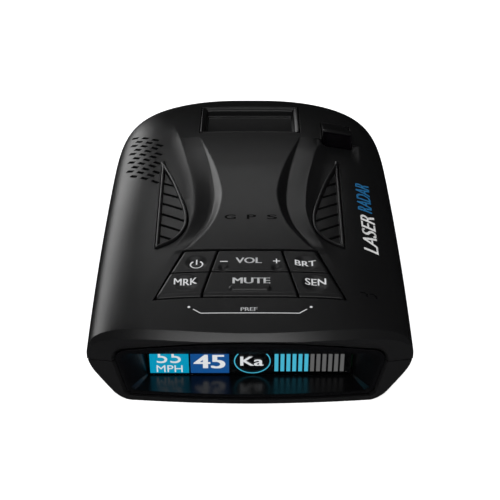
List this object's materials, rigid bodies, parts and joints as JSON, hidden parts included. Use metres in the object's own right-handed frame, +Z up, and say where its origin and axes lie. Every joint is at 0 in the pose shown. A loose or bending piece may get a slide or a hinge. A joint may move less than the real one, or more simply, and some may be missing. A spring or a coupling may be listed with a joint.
{
  "type": "radar detector",
  "caption": "Windshield radar detector: moulded two-shell case, tunnel-set colour display, sprung keys, louvred inserts, magnetic dock pocket and a laser hood.",
  "frame": {"origin": "under the middle of the case, on the surface it rests on", "axes": "+Z up through the top shell, +Y towards the rounded antenna end, -Y towards the display and the driver, +X to the driver's right"},
  "size_m": [0.0818, 0.135, 0.0325],
  "materials": {
    "case_plastic": "fine satin soft-touch grain",
    "key_plastic": "satin with printed legends",
    "gloss_plastic": "piano black",
    "smoked_lens": "polished dark infrared lens",
    "screen": "lit colour screen",
    "circuit_board": "green solder mask",
    "silicone": "grey silicone",
    "ceramic": "fired ceramic with a silver patch",
    "nickel_plate": "nickel plated",
    "tin_plate": "tin plated steel",
    "cast_zinc": "as cast",
    "paper_cone": "pressed paper",
    "label_foil": "blank matte foil",
    "black_steel": "black oxide"
  },
  "bodies": {
    "case": {"top_cover": "case_plastic", "bottom_cover": "case_plastic", "rating_label": "label_foil", "display_bezel": "gloss_plastic", "display_window": "smoked_lens", "display_panel": "screen", "display_board": "circuit_board", "key_mat": "silicone", "key_board": "circuit_board", "gps_antenna": "ceramic", "vent_louvre_left": "case_plastic", "vent_louvre_right": "case_plastic", "dock_insert": "case_plastic", "dock_magnet_left": "nickel_plate", "dock_magnet_right": "nickel_plate", "rear_laser_hood": "case_plastic", "rear_laser_window": "gloss_plastic", "rear_laser_sensor": "smoked_lens", "front_laser_window": "smoked_lens", "front_laser_sensor": "gloss_plastic", "speaker_frame": "tin_plate", "speaker_magnet": "tin_plate", "main_board": "circuit_board", "horn_antenna": "cast_zinc", "rf_board": "circuit_board", "rf_shield": "tin_plate", "processor_shield": "tin_plate", "wireless_module": "nickel_plate", "power_jack": "gloss_plastic", "usb_jack": "nickel_plate", "earphone_jack": "gloss_plastic", "case_screw_1": "black_steel", "case_screw_2": "black_steel", "case_screw_3": "black_steel", "case_screw_4": "black_steel", "board_screw_1": "black_steel", "board_screw_2": "black_steel", "board_screw_3": "black_steel", "board_screw_4": "black_steel"},
    "power_key": {"button_power": "key_plastic"},
    "mark_key": {"button_mark": "key_plastic"},
    "volume_key": {"volume_rocker": "key_plastic"},
    "mute_key": {"button_mute": "key_plastic"},
    "brightness_key": {"button_brightness": "key_plastic"},
    "sensitivity_key": {"button_sensitivity": "key_plastic"},
    "cone": {"speaker_cone": "paper_cone"}
  },
  "joints": [
    {"name": "power_press", "type": "slide", "parent": "case", "child": "power_key", "axis": [0, 0.0872, -0.9962], "range_m": [0, 0.0006], "stiffness_N_per_m": 3000},
    {"name": "mark_press", "type": "slide", "parent": "case", "child": "mark_key", "axis": [0, 0.0872, -0.9962], "range_m": [0, 0.0006], "stiffness_N_per_m": 3000},
    {"name": "mute_press", "type": "slide", "parent": "case", "child": "mute_key", "axis": [0, 0.0872, -0.9962], "range_m": [0, 0.0006], "stiffness_N_per_m": 3000},
    {"name": "brightness_press", "type": "slide", "parent": "case", "child": "brightness_key", "axis": [0, 0.0872, -0.9962], "range_m": [0, 0.0006], "stiffness_N_per_m": 3000},
    {"name": "sensitivity_press", "type": "slide", "parent": "case", "child": "sensitivity_key", "axis": [0, 0.0872, -0.9962], "range_m": [0, 0.0006], "stiffness_N_per_m": 3000},
    {"name": "volume_rock", "type": "hinge", "parent": "case", "child": "volume_key", "pos_m": [0, -0.0383, 0.0262], "axis": [0, 0.9962, 0.0872], "range_deg": [-2.5, 2.5], "stiffness_Nm_per_rad": 0.35},
    {"name": "cone_stroke", "type": "slide", "parent": "case", "child": "cone", "axis": [-0.342, 0, 0.9397], "range_m": [-0.0003, 0.0003], "stiffness_N_per_m": 2000}
  ]
}
